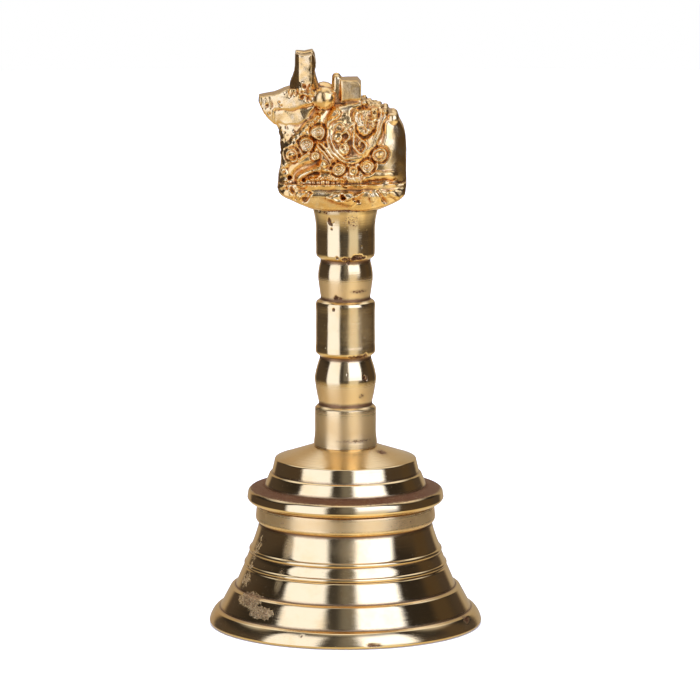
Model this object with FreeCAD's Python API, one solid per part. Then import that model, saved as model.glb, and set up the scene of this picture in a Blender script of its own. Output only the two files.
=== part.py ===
"""Brass puja bell: a turned cup, a cast handle topped by a resting bull, and a clapper hung inside.

Millimetres. The origin is the centre of the mouth plane, +Z runs up the axis, and the bull faces -X.
"""
import FreeCAD, Part
import math
import os
from FreeCAD import Vector

# Overall sizes.
TOTAL_HEIGHT = 150.0
MOUTH_RADIUS = 35.5
SEAT_Z = 46.6            # flat on top of the crown, where the handle's foot stands
SEAT_RADIUS = 8.6
COLLAR_TOP_Z = 108.0     # top of the turned stem, under the figure
FIT_GAP = 0.02           # radial gap of a thread or a riveted shank in its hole

# Bell cup. Each entry is a corner (radius, z), or (via, end) for an arc.
CUP_OUTSIDE = [
    (34.9, 0.0),                                 # flat the bell stands on
    ((35.33, 0.2), (MOUTH_RADIUS, 0.65)),        # rounded mouth edge
    ((35.0, 2.1), (33.9, 3.7)),                  # lip
    (32.8, 4.05),
    (29.9, 9.5),                                 # lower band
    (28.7, 9.9),
    (26.55, 14.9),                               # middle band
    (26.05, 15.3),
    ((26.45, 15.8), (26.0, 16.35)),              # lower bead
    (25.25, 18.3),                               # narrow band
    (24.85, 18.9),
    ((25.15, 19.5), (24.65, 20.05)),             # upper bead
    ((23.35, 23.5), (22.5, 26.6)),               # hollow flank
    ((23.15, 27.1), (23.4, 28.2)),               # underside of the neck band
    (23.1, 31.3),                                # neck band
    (22.75, 31.6),                               # groove under the flange
    (23.3, 32.0),
    ((25.1, 32.3), (25.6, 33.1)),                # flange, rounded below
    (25.35, 34.7),
    ((24.9, 35.25), (23.9, 35.55)),              # flange, rounded above
    (21.0, 36.2),                                # ledge
    (20.7, 37.1),                                # second tier
    (19.75, 39.4),
    (19.2, 39.7),                                # first tier
    (18.45, 42.9),
    ((18.3, 43.3), (17.9, 43.45)),
    (SEAT_RADIUS, SEAT_Z),                       # shallow cone of the crown
]
CROWN_UNDERSIDE_Z = 41.5
BOLT_HOLE_RADIUS = 2.8
CUP_INSIDE = [
    (BOLT_HOLE_RADIUS, SEAT_Z),
    (BOLT_HOLE_RADIUS, CROWN_UNDERSIDE_Z),
    (12.0, CROWN_UNDERSIDE_Z),
    ((17.7, 38.7), (19.8, 32.8)),                # corner under the crown
    (20.3, 27.0),                                # neck
    ((26.9, 10.0), (33.2, 0.0)),                 # flare down to the mouth
]

# Stem of the handle, from the foot up.
STEM_OUTSIDE = [
    (8.25, SEAT_Z),
    (8.2, 48.0),
    ((8.0, 49.5), (7.95, 51.5)),                 # flare at the foot
    (7.95, 56.7),                                # foot sleeve
    (7.6, 57.1),
    (6.95, 57.6),
    (6.95, 58.3),                                # groove
    ((7.62, 61.5), (8.0, 64.1)),                 # lower bead
    (8.0, 64.8),
    ((7.45, 67.4), (6.7, 69.7)),
    (6.7, 70.3),                                 # groove
    (7.6, 71.1),
    (7.75, 71.5),
    (7.75, 72.8),                                # middle sleeve
    (7.67, 73.4),
    (7.67, 82.0),
    (7.74, 83.9),
    (7.55, 84.6),
    (6.45, 85.3),
    (6.45, 85.9),                                # groove
    ((7.08, 88.6), (7.35, 90.7)),                # upper bead
    (7.35, 91.5),
    ((7.1, 93.4), (6.6, 95.0)),
    (6.6, 95.7),                                 # groove
    (7.5, 96.5),
    (7.65, 97.2),                                # upper sleeve
    (7.67, 102.0),
    ((7.95, 105.8), (8.7, COLLAR_TOP_Z)),        # flare under the figure
]

# Figure of the resting bull. Side outlines are corners (x, z), or (via, end) for an arc.
BASE_BOTTOM_RADIUS = 8.7
BASE_FRONT_X = -17.3
BASE_BACK_X = 15.5
BASE_HALF_WIDTH = 9.6
BASE_RIM_Z = 113.0
BASE_TOP_Z = 116.5
BODY_SIDE = [
    (-16.8, BASE_RIM_Z),
    (-16.8, 126.5),                              # chest
    ((-15.6, 129.4), (-12.5, 132.0)),            # throat
    (-9.0, 140.2),
    (-3.0, 140.8),                               # poll, behind the horns
    (4.5, 138.0),
    ((9.5, 135.9), (13.0, 134.2)),               # back
    ((15.1, 131.4), (15.6, 126.0)),              # rump
    (15.6, BASE_RIM_Z),
]
BODY_Z = 124.0
BODY_HALF_WIDTH = 8.6
BODY_HALF_HEIGHT = 18.5
BODY_CORNER_RADIUS = 7.0
HEAD_SIDE = [
    (-22.3, 138.7),
    (-22.3, 137.0),                              # muzzle
    ((-20.6, 133.2), (-17.6, 130.6)),            # chin
    (-15.0, 129.0),
    (-6.0, 131.0),
    (-3.0, 140.8),
    (-15.0, 141.3),                              # brow
    ((-18.0, 139.7), (-22.3, 138.7)),            # nose
]
HEAD_Z = 135.5
HEAD_HALF_WIDTH = 5.6
HEAD_FULL_WIDTH_X = -12.0                        # in front of here the head narrows
MUZZLE_HALF_WIDTH = 3.3
HEAD_HALF_HEIGHT = 7.8
HORN_FOOT = (-10.7, 3.6, 139.0)
HORN_RADIUS = 2.8
HORN_TOP_Z = TOTAL_HEIGHT
EAR = (-5.7, 5.6, 137.7)
EAR_RADIUS = 2.6
HUMP_SIZE = (6.6, 7.6, 9.0)
HUMP_CENTRE = (0.9, 0.0, 138.7)
HUMP_KNOB = (-2.3, 0.0, 138.0)
HUMP_KNOB_RADIUS = 1.15
HUMP_KNOB_TOP_Z = 144.2
KNEE = (-12.2, 7.2, 117.2)
FORELEG_END = (-6.0, 7.9, 119.4)
HOCK = (6.4, 7.9, 117.6)
HIND_HOOF = (11.6, 7.0, 117.2)
LEG_RADIUS = 2.0
CLOTH_X = 1.8
CLOTH_Z = 130.0
CLOTH_RADIUS = 9.3
CLOTH_PROUD = 0.5        # how far the saddle cloth stands off the flanks

# Eye bolt that holds the handle down and carries the clapper.
BOLT_RADIUS = 2.5
BOLT_TOP_Z = 58.0
TAPPED_HOLE_TOP_Z = 59.5
WASHER_THICKNESS = 1.0
WASHER_RADIUS = 6.0
NUT_THICKNESS = 3.2
NUT_ACROSS_FLATS = 8.0
NUT_TO_EYE = 0.3
EYE_RING_RADIUS = 2.6    # centre line of the eye
EYE_WIRE_RADIUS = 1.1

# Link ring and clapper.
HANG_GAP = 0.05          # running gap where one ring hangs on another
LINK_RING_RADIUS = 3.8
LINK_WIRE_RADIUS = 1.0
ROD_EYE_RADIUS = 2.4
ROD_EYE_WIRE_RADIUS = 1.0
ROD_RADIUS = 1.25
BALL_RADIUS = 7.5
BALL_Z = 10.0
BALL_FLAT = 0.35         # depth of the flat that the riveted end bears on
RIVET_RADIUS = 2.2
RIVET_THICKNESS = 0.9

# Heights that follow from the sizes above.
WASHER_Z = CROWN_UNDERSIDE_Z - WASHER_THICKNESS
NUT_Z = WASHER_Z - NUT_THICKNESS
EYE_Z = NUT_Z - NUT_TO_EYE - EYE_WIRE_RADIUS - EYE_RING_RADIUS
LINK_PIVOT_Z = EYE_Z - EYE_RING_RADIUS
LINK_Z = LINK_PIVOT_Z + EYE_WIRE_RADIUS + HANG_GAP + LINK_WIRE_RADIUS - LINK_RING_RADIUS
CLAPPER_PIVOT_Z = LINK_Z - LINK_RING_RADIUS
ROD_EYE_Z = CLAPPER_PIVOT_Z + LINK_WIRE_RADIUS + HANG_GAP + ROD_EYE_WIRE_RADIUS - ROD_EYE_RADIUS

UP = Vector(0, 0, 1)
FIGURE_SPAN = 60.0       # long enough to carry a section right through the figure


def outline_wire(outline):
    """Closed wire in the XZ plane through corners (x, z) and arcs (via, end)."""
    edges = []
    first = Vector(outline[0][0], 0, outline[0][1])
    start = first
    for entry in outline[1:]:
        if isinstance(entry[0], tuple):
            via, end = (Vector(x, 0, z) for x, z in entry)
            edges.append(Part.Arc(start, via, end).toShape())
        else:
            end = Vector(entry[0], 0, entry[1])
            edges.append(Part.LineSegment(start, end).toShape())
        start = end
    if not start.isEqual(first, 1e-6):
        edges.append(Part.LineSegment(start, first).toShape())
    return Part.Wire(edges)


def turned(outline):
    """Solid of revolution about Z of a closed outline of (radius, z)."""
    return Part.Face(outline_wire(outline)).revolve(Vector(), UP, 360)


def frustum(start, end, start_radius, end_radius):
    """Cone or cylinder between two points."""
    start, end = Vector(*start), Vector(*end)
    run = end - start
    if abs(start_radius - end_radius) < 1e-6:
        return Part.makeCylinder(start_radius, run.Length, start, run)
    return Part.makeCone(start_radius, end_radius, run.Length, start, run)


def ball(centre, radius):
    return Part.makeSphere(radius, Vector(*centre))


def capsule(start, end, start_radius, end_radius):
    """Round-ended limb between two points."""
    limb = frustum(start, end, start_radius, end_radius)
    return limb.multiFuse([ball(start, start_radius), ball(end, end_radius)])


def ring(radius, wire_radius, z, normal):
    return Part.makeTorus(radius, wire_radius, Vector(0, 0, z), normal)


def side_prism(outline):
    """A side outline carried right across the figure."""
    return Part.Face(outline_wire(outline)).extrude(Vector(0, FIGURE_SPAN, 0)).translate(
        Vector(0, -FIGURE_SPAN / 2, 0))


def barrel(z, half_width, half_height):
    """Upright oval section carried along the figure."""
    oval = Part.Wire([Part.Ellipse(Vector(), half_height, half_width).toShape()])
    oval.rotate(Vector(), Vector(0, 1, 0), -90)
    oval.translate(Vector(-FIGURE_SPAN / 2, 0, z))
    return Part.Face(oval).extrude(Vector(FIGURE_SPAN, 0, 0))


def mirrored(place):
    """The same place on the left and right flank."""
    x, y, z = place
    return [(x, side * y, z) for side in (-1, 1)]


def bell_cup():
    return turned(CUP_OUTSIDE + CUP_INSIDE)


def stem():
    on_axis = [(0.0, COLLAR_TOP_Z), (0.0, SEAT_Z)]
    return turned(STEM_OUTSIDE + on_axis)


def figure_base():
    """Bowl under the bull: an oval rim lofted down to the round collar."""
    middle_x = (BASE_FRONT_X + BASE_BACK_X) / 2
    half_length = (BASE_BACK_X - BASE_FRONT_X) / 2

    def oval(centre_x, length, width, z):
        if length == width:
            edge = Part.Circle(Vector(centre_x, 0, z), UP, length).toShape()
        else:
            edge = Part.Ellipse(Vector(centre_x, 0, z), length, width).toShape()
        return Part.Wire([edge])

    bowl = Part.makeLoft([
        oval(0, BASE_BOTTOM_RADIUS, BASE_BOTTOM_RADIUS, COLLAR_TOP_Z),
        oval(middle_x * 0.6, half_length * 0.8, BASE_HALF_WIDTH * 0.96, (COLLAR_TOP_Z + BASE_RIM_Z) / 2),
        oval(middle_x, half_length, BASE_HALF_WIDTH, BASE_RIM_Z),
        oval(middle_x, half_length, BASE_HALF_WIDTH, BASE_TOP_Z),
    ], True)
    return bowl


def bull_body():
    """Trunk and neck: the side outline, rounded in section and at its four upright corners."""
    block = Part.makeBox(BASE_BACK_X - BASE_FRONT_X, 2 * BODY_HALF_WIDTH, TOTAL_HEIGHT - BASE_RIM_Z,
                         Vector(BASE_FRONT_X, -BODY_HALF_WIDTH, BASE_RIM_Z))
    uprights = [edge for edge in block.Edges if abs(edge.tangentAt(edge.FirstParameter).z) > 0.9]
    block = block.makeFillet(BODY_CORNER_RADIUS, uprights)
    return block.common(side_prism(BODY_SIDE)).common(barrel(BODY_Z, BODY_HALF_WIDTH, BODY_HALF_HEIGHT))


def bull_head():
    """Pieces of the head: skull, ears, the two horn stubs, and the squared hump behind them."""
    half_plan = [(HEAD_SIDE[0][0], MUZZLE_HALF_WIDTH), (HEAD_FULL_WIDTH_X, HEAD_HALF_WIDTH), (0.0, HEAD_HALF_WIDTH)]
    plan = half_plan + [(x, -y) for x, y in reversed(half_plan)]
    corners = [Vector(x, y, 0) for x, y in plan + plan[:1]]
    taper = Part.Face(Part.makePolygon(corners)).extrude(UP * TOTAL_HEIGHT)
    skull = side_prism(HEAD_SIDE).common(barrel(HEAD_Z, HEAD_HALF_WIDTH, HEAD_HALF_HEIGHT)).common(taper)
    ears = [ball(place, EAR_RADIUS) for place in mirrored(EAR)]
    horns = [frustum(foot, (foot[0], foot[1], HORN_TOP_Z), HORN_RADIUS, HORN_RADIUS) for foot in mirrored(HORN_FOOT)]
    hump = Part.makeBox(*HUMP_SIZE, Vector(*HUMP_CENTRE) - Vector(*HUMP_SIZE) * 0.5)
    knob_top = (HUMP_KNOB[0], HUMP_KNOB[1], HUMP_KNOB_TOP_Z)
    knob = frustum(HUMP_KNOB, knob_top, HUMP_KNOB_RADIUS, HUMP_KNOB_RADIUS)
    return [skull, hump, knob] + ears + horns


def bull_legs():
    """Folded forelegs and hind legs, lying along the foot of each flank."""
    legs = []
    for start, end in ((KNEE, FORELEG_END), (HOCK, HIND_HOOF)):
        for near, far in zip(mirrored(start), mirrored(end)):
            legs.append(capsule(near, far, LEG_RADIUS, LEG_RADIUS))
    return legs


def saddle_cloth():
    """Round cloth over the back, standing a little proud of both flanks."""
    disc = Part.makeCylinder(CLOTH_RADIUS, FIGURE_SPAN, Vector(CLOTH_X, -FIGURE_SPAN / 2, CLOTH_Z), Vector(0, 1, 0))
    flanks = barrel(BODY_Z, BODY_HALF_WIDTH + CLOTH_PROUD, BODY_HALF_HEIGHT + CLOTH_PROUD)
    return disc.common(flanks).common(side_prism(BODY_SIDE))


def nandi_handle():
    """Stem and bull cast as one piece, drilled and tapped up the foot."""
    casting = stem()
    for feature in [figure_base(), bull_body(), saddle_cloth()] + bull_head() + bull_legs():
        casting = casting.fuse(feature)
    tapped_hole = Part.makeCylinder(BOLT_RADIUS + FIT_GAP, TAPPED_HOLE_TOP_Z - SEAT_Z, Vector(0, 0, SEAT_Z))
    return casting.cut(tapped_hole)


def crown_washer():
    return turned([
        (BOLT_HOLE_RADIUS, WASHER_Z), (WASHER_RADIUS, WASHER_Z),
        (WASHER_RADIUS, CROWN_UNDERSIDE_Z), (BOLT_HOLE_RADIUS, CROWN_UNDERSIDE_Z),
    ])


def clamp_nut():
    """Thin hexagon nut with its corners turned off on the lower face."""
    corner_radius = NUT_ACROSS_FLATS / 2 / math.cos(math.pi / 6)
    corners = [Vector(corner_radius * math.cos(math.radians(60 * i)),
                      corner_radius * math.sin(math.radians(60 * i)), NUT_Z) for i in range(7)]
    hexagon = Part.Face(Part.makePolygon(corners)).extrude(UP * NUT_THICKNESS)
    chamfer_radius = NUT_ACROSS_FLATS / 2
    blank = turned([
        (0.0, NUT_Z), (chamfer_radius, NUT_Z), (corner_radius + 0.1, NUT_Z + 0.4),
        (corner_radius + 0.1, NUT_Z + NUT_THICKNESS), (0.0, NUT_Z + NUT_THICKNESS),
    ])
    hole = Part.makeCylinder(BOLT_RADIUS + FIT_GAP, NUT_THICKNESS, Vector(0, 0, NUT_Z))
    return hexagon.common(blank).cut(hole)


def eye_bolt():
    eye = ring(EYE_RING_RADIUS, EYE_WIRE_RADIUS, EYE_Z, Vector(0, 1, 0))
    shoulder_z = EYE_Z + EYE_RING_RADIUS + EYE_WIRE_RADIUS
    shank = Part.makeCylinder(BOLT_RADIUS, BOLT_TOP_Z - shoulder_z, Vector(0, 0, shoulder_z))
    root = Part.makeCone(EYE_WIRE_RADIUS, BOLT_RADIUS, EYE_WIRE_RADIUS, Vector(0, 0, shoulder_z - EYE_WIRE_RADIUS))
    return eye.multiFuse([shank, root])


def link_ring():
    return ring(LINK_RING_RADIUS, LINK_WIRE_RADIUS, LINK_Z, Vector(1, 0, 0))


def clapper_rod():
    """Rod with a closed eye above and a riveted end under the ball."""
    eye = ring(ROD_EYE_RADIUS, ROD_EYE_WIRE_RADIUS, ROD_EYE_Z, Vector(0, 1, 0))
    rivet_top = BALL_Z - BALL_RADIUS + BALL_FLAT
    rod_top = ROD_EYE_Z - ROD_EYE_RADIUS
    rod = Part.makeCylinder(ROD_RADIUS, rod_top - rivet_top + RIVET_THICKNESS / 2,
                            Vector(0, 0, rivet_top - RIVET_THICKNESS / 2))
    rivet = Part.makeCylinder(RIVET_RADIUS, RIVET_THICKNESS, Vector(0, 0, rivet_top - RIVET_THICKNESS))
    return eye.multiFuse([rod, rivet])


def clapper_ball():
    solid = ball((0, 0, BALL_Z), BALL_RADIUS)
    below_flat = Part.makeBox(4 * BALL_RADIUS, 4 * BALL_RADIUS, BALL_RADIUS,
                              Vector(-2 * BALL_RADIUS, -2 * BALL_RADIUS, BALL_Z - 2 * BALL_RADIUS + BALL_FLAT))
    hole = Part.makeCylinder(ROD_RADIUS + FIT_GAP, 4 * BALL_RADIUS, Vector(0, 0, BALL_Z - 2 * BALL_RADIUS))
    return solid.cut(below_flat).cut(hole)


os.makedirs("parts", exist_ok=True)
for make_piece in (nandi_handle, bell_cup, crown_washer, clamp_nut, eye_bolt,
                   link_ring, clapper_rod, clapper_ball):
    piece = make_piece().removeSplitter()
    if piece.ShapeType == "Compound" and len(piece.Solids) == 1:
        piece = piece.Solids[0]
    piece.exportStep(f"parts/{make_piece.__name__}.step")
    print(make_piece.__name__, piece.ShapeType, len(piece.Solids), piece.isValid(), round(piece.Volume, 1),
          [round(value, 2) for value in (piece.BoundBox.XMin, piece.BoundBox.XMax, piece.BoundBox.YMin,
                                         piece.BoundBox.YMax, piece.BoundBox.ZMin, piece.BoundBox.ZMax)])
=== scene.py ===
"""Looks of the brass puja bell: turned cup and stem, cast bull, clapper hardware, camera and studio.

Shapes are worked out in millimetres in the part's own frame and brought to metres when a piece is finished.
"""
import math
import random

import bmesh
import bpy
import numpy as np
from mathutils import Matrix, Vector, noise


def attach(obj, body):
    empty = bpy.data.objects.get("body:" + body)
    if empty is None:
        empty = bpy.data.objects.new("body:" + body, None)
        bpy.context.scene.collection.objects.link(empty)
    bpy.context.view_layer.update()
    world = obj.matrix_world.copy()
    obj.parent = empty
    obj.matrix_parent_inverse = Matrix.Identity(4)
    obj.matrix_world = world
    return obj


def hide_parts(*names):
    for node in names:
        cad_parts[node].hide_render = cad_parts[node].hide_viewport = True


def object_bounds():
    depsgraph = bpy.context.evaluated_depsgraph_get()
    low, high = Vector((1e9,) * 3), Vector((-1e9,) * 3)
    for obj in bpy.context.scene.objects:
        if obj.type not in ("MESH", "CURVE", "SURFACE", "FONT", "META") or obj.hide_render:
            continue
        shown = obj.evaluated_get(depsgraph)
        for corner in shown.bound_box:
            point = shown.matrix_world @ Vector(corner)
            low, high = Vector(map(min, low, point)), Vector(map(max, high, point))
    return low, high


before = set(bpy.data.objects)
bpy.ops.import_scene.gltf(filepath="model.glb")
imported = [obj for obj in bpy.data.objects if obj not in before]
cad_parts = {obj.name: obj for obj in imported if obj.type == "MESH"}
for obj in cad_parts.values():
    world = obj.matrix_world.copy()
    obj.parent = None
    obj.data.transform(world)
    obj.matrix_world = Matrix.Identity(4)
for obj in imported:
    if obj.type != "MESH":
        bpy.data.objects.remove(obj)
cad_low, cad_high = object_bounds()

MM = 0.001
RANDOM = random.Random(7)

SAMPLE_SPACING = 0.04    # along a turned outline, before it is thinned to rows
EDGE_RADIUS = 0.08       # softening of turned corners
HOLLOW_WIDTH = 0.9       # how wide a hollow still gathers dirt
TURN_STEP = 0.30         # radians that the outline turns between two rows
BORE_RADIUS = 3.0        # holes narrower than this are filled by the bolt, so their walls stay coarse
BORE_DETAIL = 0.15
UNEVEN_SPACING = 3.0     # of the slight waves in a worn surface
PIT_SHADE = 2.4          # how much darker a pit is than a hollow of the same depth
MOST_TRIANGLES = 190000  # of the cast figure
FLOOR_GAP = 0.0002       # metres


# ---- meshes

def new_object(name, data):
    """Object in the scene."""
    thing = bpy.data.objects.new(name, data)
    bpy.context.scene.collection.objects.link(thing)
    return thing


def new_piece(name, mesh, material, slot, *nodes):
    """Puts a finished mesh, in millimetres, into the scene as a piece that rides on the bell."""
    mesh.transform(Matrix.Scale(MM, 4))
    mesh.polygons.foreach_set("use_smooth", [True] * len(mesh.polygons))
    mesh.materials.clear()
    mesh.materials.append(material)
    piece = new_object(name, mesh)
    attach(piece, "bell")
    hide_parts(*nodes)


def mesh_from(name, points, faces):
    mesh = bpy.data.meshes.new(name)
    mesh.from_pydata([tuple(p) for p in points], [], faces)
    mesh.update()
    return mesh


def read_points(mesh):
    points = np.empty(len(mesh.vertices) * 3)
    mesh.vertices.foreach_get("co", points)
    return points.reshape(-1, 3)


def write_points(mesh, points):
    mesh.vertices.foreach_set("co", points.ravel())
    mesh.update()


def read_normals(mesh):
    normals = np.empty(len(mesh.vertices) * 3)
    mesh.vertex_normals.foreach_get("vector", normals)
    return normals.reshape(-1, 3)


def store(mesh, name, values):
    layer = mesh.attributes.new(name, "FLOAT", "POINT")
    layer.data.foreach_set("value", np.asarray(values, np.float32))


# ---- turned pieces

def arc_points(start, via, end):
    """Points along the arc from start to end through via, without the start."""
    (ax, ay), (bx, by), (cx, cy) = start, via, end
    d = 2 * (ax * (by - cy) + bx * (cy - ay) + cx * (ay - by))
    aa = ax * ax + ay * ay
    bb = bx * bx + by * by
    cc = cx * cx + cy * cy
    ux = (aa * (by - cy) + bb * (cy - ay) + cc * (ay - by)) / d
    uy = (aa * (cx - bx) + bb * (ax - cx) + cc * (bx - ax)) / d
    radius = math.hypot(ax - ux, ay - uy)
    first = math.atan2(ay - uy, ax - ux)
    turn_via = (math.atan2(by - uy, bx - ux) - first) % (2 * math.pi)
    turn_end = (math.atan2(cy - uy, cx - ux) - first) % (2 * math.pi)
    if turn_via > turn_end:
        turn_end -= 2 * math.pi
    count = max(2, int(abs(turn_end) * radius / SAMPLE_SPACING))
    return [(ux + radius * math.cos(first + turn_end * i / count),
             uy + radius * math.sin(first + turn_end * i / count)) for i in range(1, count + 1)]


def outline_points(outline, step):
    """Outline sampled with softened corners, closer where it turns, and how recessed each row is."""
    dense = [outline[0]]
    for entry in list(outline[1:]) + [outline[0]]:
        if isinstance(entry[0], tuple):
            dense += arc_points(dense[-1], entry[0], entry[1])
        else:
            (ax, ay), (bx, by) = dense[-1], entry
            count = max(1, int(math.hypot(bx - ax, by - ay) / SAMPLE_SPACING))
            dense += [(ax + (bx - ax) * i / count, ay + (by - ay) * i / count)
                      for i in range(1, count + 1)]
    dense = np.array(dense[:-1])

    def blurred(width):
        reach = int(3 * width / SAMPLE_SPACING)
        kernel = np.exp(-0.5 * (np.arange(-reach, reach + 1) * SAMPLE_SPACING / width) ** 2)
        kernel /= kernel.sum()
        wrapped = np.concatenate([dense[-reach:], dense, dense[:reach]])
        return np.stack([np.convolve(wrapped[:, k], kernel, "valid") for k in (0, 1)], axis=1)

    soft = blurred(EDGE_RADIUS)
    along = np.roll(soft, -1, axis=0) - np.roll(soft, 1, axis=0)
    length = np.hypot(*along.T)
    outward = np.stack([along[:, 1], -along[:, 0]], axis=1) / length[:, None]
    recess = ((blurred(HOLLOW_WIDTH) - soft) * outward).sum(axis=1)
    heading = np.unwrap(np.arctan2(along[:, 1], along[:, 0]))
    full_turn = 2 * math.pi * round((heading[-1] - heading[0]) / 2 / math.pi)
    turning = np.abs(np.diff(heading, append=heading[:1] + full_turn))
    detail = np.where(soft[:, 0] < BORE_RADIUS, BORE_DETAIL, 1.0)
    progress = np.cumsum((length / 2 / step + turning / TURN_STEP) * detail)
    kept = np.unique(np.searchsorted(progress, np.arange(0, progress[-1], 1.0)))
    kept = kept[kept < len(soft)]
    return soft[kept], recess[kept]


def lathe(name, outline, segments, step):
    """Mesh of revolution of a closed outline (radius, z), with the row's recess stored on its points."""
    profile, recess = outline_points(outline, step)
    angle = np.arange(segments) * 2 * math.pi / segments
    points = np.stack([
        profile[:, None, 0] * np.cos(angle)[None, :],
        profile[:, None, 0] * np.sin(angle)[None, :],
        np.repeat(profile[:, None, 1], segments, axis=1)], axis=2).reshape(-1, 3)
    rows = len(profile)
    faces = []
    for row in range(rows):
        after = (row + 1) % rows
        for k in range(segments):
            beside = (k + 1) % segments
            faces.append((row * segments + k, row * segments + beside,
                          after * segments + beside, after * segments + k))
    mesh = mesh_from(name, points, faces)
    store(mesh, "recess", np.repeat(recess, segments))
    return mesh


# A turned outline is (radius, z) corners, and pairs of such points: an arc's middle and its end.
CUP_OUTSIDE = [
    (34.9, 0.0), ((35.33, 0.2), (35.5, 0.65)), ((35.0, 2.1), (33.9, 3.7)), (32.8, 4.05), (29.9, 9.5),
    (28.7, 9.9), (26.55, 14.9), (26.05, 15.3), ((26.45, 15.8), (26.0, 16.35)), (25.25, 18.3),
    (24.85, 18.9), ((25.15, 19.5), (24.65, 20.05)), ((23.35, 23.5), (22.5, 26.6)),
    ((23.15, 27.1), (23.4, 28.2)), (23.1, 31.3), (22.75, 31.6), (23.3, 32.0),
    ((25.1, 32.3), (25.6, 33.1)), (25.35, 34.7), ((24.9, 35.25), (23.9, 35.55)), (21.0, 36.2),
    (20.7, 37.1), (19.75, 39.4), (19.2, 39.7), (18.45, 42.9), ((18.3, 43.3), (17.9, 43.45)),
    (8.6, 46.6),
]
CUP_INSIDE = [
    (2.8, 46.6), (2.8, 41.5), (12.0, 41.5), ((17.7, 38.7), (19.8, 32.8)), (20.3, 27.0),
    ((26.9, 10.0), (33.2, 0.0)),
]
STEM_OUTSIDE = [
    (8.25, 46.6), (8.2, 48.0), ((8.0, 49.5), (7.95, 51.5)), (7.95, 56.7), (7.6, 57.1), (6.95, 57.6),
    (6.95, 58.3), ((7.62, 61.5), (8.0, 64.1)), (8.0, 64.8), ((7.45, 67.4), (6.7, 69.7)), (6.7, 70.3),
    (7.6, 71.1), (7.75, 71.5), (7.75, 72.8), (7.67, 73.4), (7.67, 82.0), (7.74, 83.9), (7.55, 84.6),
    (6.45, 85.3), (6.45, 85.9), ((6.85, 88.6), (7.1, 90.7)), (7.1, 91.3), ((6.9, 93.4), (6.5, 95.0)),
    (6.5, 95.7), (7.5, 96.5), (7.65, 97.2), (7.67, 102.0), ((7.8, 105.6), (8.3, 108.2)), (8.5, 109.6),
    (8.1, 111.2), (2.6, 111.2), (2.6, 46.6),
]


def polar(points):
    """Angle in degrees, radius and height of each point."""
    x, y, z = points.T
    return np.degrees(np.arctan2(y, x)), np.hypot(x, y), z


def spot_distance(places, angle, z, across, up):
    """Squared distance from the middle of a spot on a turned face, 1 at its rim."""
    around, radius, height = places
    far = ((height - z) / up) ** 2
    if angle is None:
        return far
    turn = (around - angle + 180) % 360 - 180
    return far + (np.radians(turn) * radius / across) ** 2


def zones(mesh, name, places):
    """Stores soft patches on a turned piece: (angle, z, half width, half height, amount).

    An angle of None is a patch all round the axis.
    """
    where = polar(read_points(mesh))
    values = np.zeros(len(mesh.vertices))
    for *spot, amount in places:
        far = spot_distance(where, *spot)
        values = np.maximum(values, amount * np.exp(-far * far))
    store(mesh, name, values)


def wear(mesh, marks, unevenness):
    """Pits and chips, each (angle, z, half width, half height, depth), and a slight unevenness."""
    points, normals = read_points(mesh), read_normals(mesh)
    where = polar(points)
    depth = np.zeros(len(points))
    outside = points[:, 0] * normals[:, 0] + points[:, 1] * normals[:, 1] > -0.2 * where[1]
    for *spot, sunk in marks:
        far = spot_distance(where, *spot)
        depth += np.where(outside, sunk * np.clip(1 - far, 0, 1) ** 0.7, 0)
    if unevenness:
        waves = np.array([noise.noise(Vector(p) / UNEVEN_SPACING) for p in points])
        depth += unevenness * waves
    write_points(mesh, points - normals * depth[:, None])
    recess = np.empty(len(points), np.float32)
    layer = mesh.attributes["recess"].data
    layer.foreach_get("value", recess)
    recess = (recess + np.clip(depth, 0, 1) * PIT_SHADE).astype(np.float32)
    layer.foreach_set("value", recess)


# ---- cast figure, worked out as a distance field

VOXEL = 0.17
FIELD_X = np.arange(-24.0, 17.6, VOXEL)
FIELD_Y = np.arange(0.0, 10.9, VOXEL)            # one flank; the other mirrors it
FIELD_Z = np.arange(105.0, 151.2, VOXEL)
SIDE_X, SIDE_Z = np.meshgrid(FIELD_X, FIELD_Z, indexing="ij")
X = FIELD_X[:, None, None]
Y = FIELD_Y[None, :, None]
Z = FIELD_Z[None, None, :]


def smooth_min(a, b, blend):
    """The lower of two fields, with the corner between them rounded over blend."""
    reach = np.maximum(blend - np.abs(a - b), 0) / blend
    return np.minimum(a, b) - reach * reach * blend / 4


def smooth_max(a, b, blend):
    return -smooth_min(-a, -b, blend)


def off_segment(start, end, across, up):
    """Squared distance of grid points from a straight run."""
    (ax, az), (bx, bz) = start, end
    dx, dz = bx - ax, bz - az
    along = np.clip(((across - ax) * dx + (up - az) * dz) / max(dx * dx + dz * dz, 1e-9), 0, 1)
    return (across - ax - along * dx) ** 2 + (up - az - along * dz) ** 2


def polygon(corners, across=SIDE_X, up=SIDE_Z):
    """Signed distance to a closed outline, negative inside."""
    nearest = np.full(across.shape, 1e9)
    inside = np.zeros(across.shape, bool)
    for (ax, az), (bx, bz) in zip(corners, corners[1:] + corners[:1]):
        nearest = np.minimum(nearest, off_segment((ax, az), (bx, bz), across, up))
        if bz != az:
            crosses = (az > up) != (bz > up)
            inside ^= crosses & (across < ax + (up - az) * (bx - ax) / (bz - az))
    return np.where(inside, -1, 1) * np.sqrt(nearest)


def prism(corners, half_width, edge):
    """Side outline carried across the figure, out to half_width on each side, with rounded edges."""
    return smooth_max(polygon(corners)[:, None, :], Y - half_width, edge)


def sphere(x, y, z, radius):
    return np.sqrt((X - x) ** 2 + (Y - y) ** 2 + (Z - z) ** 2) - radius


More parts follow.
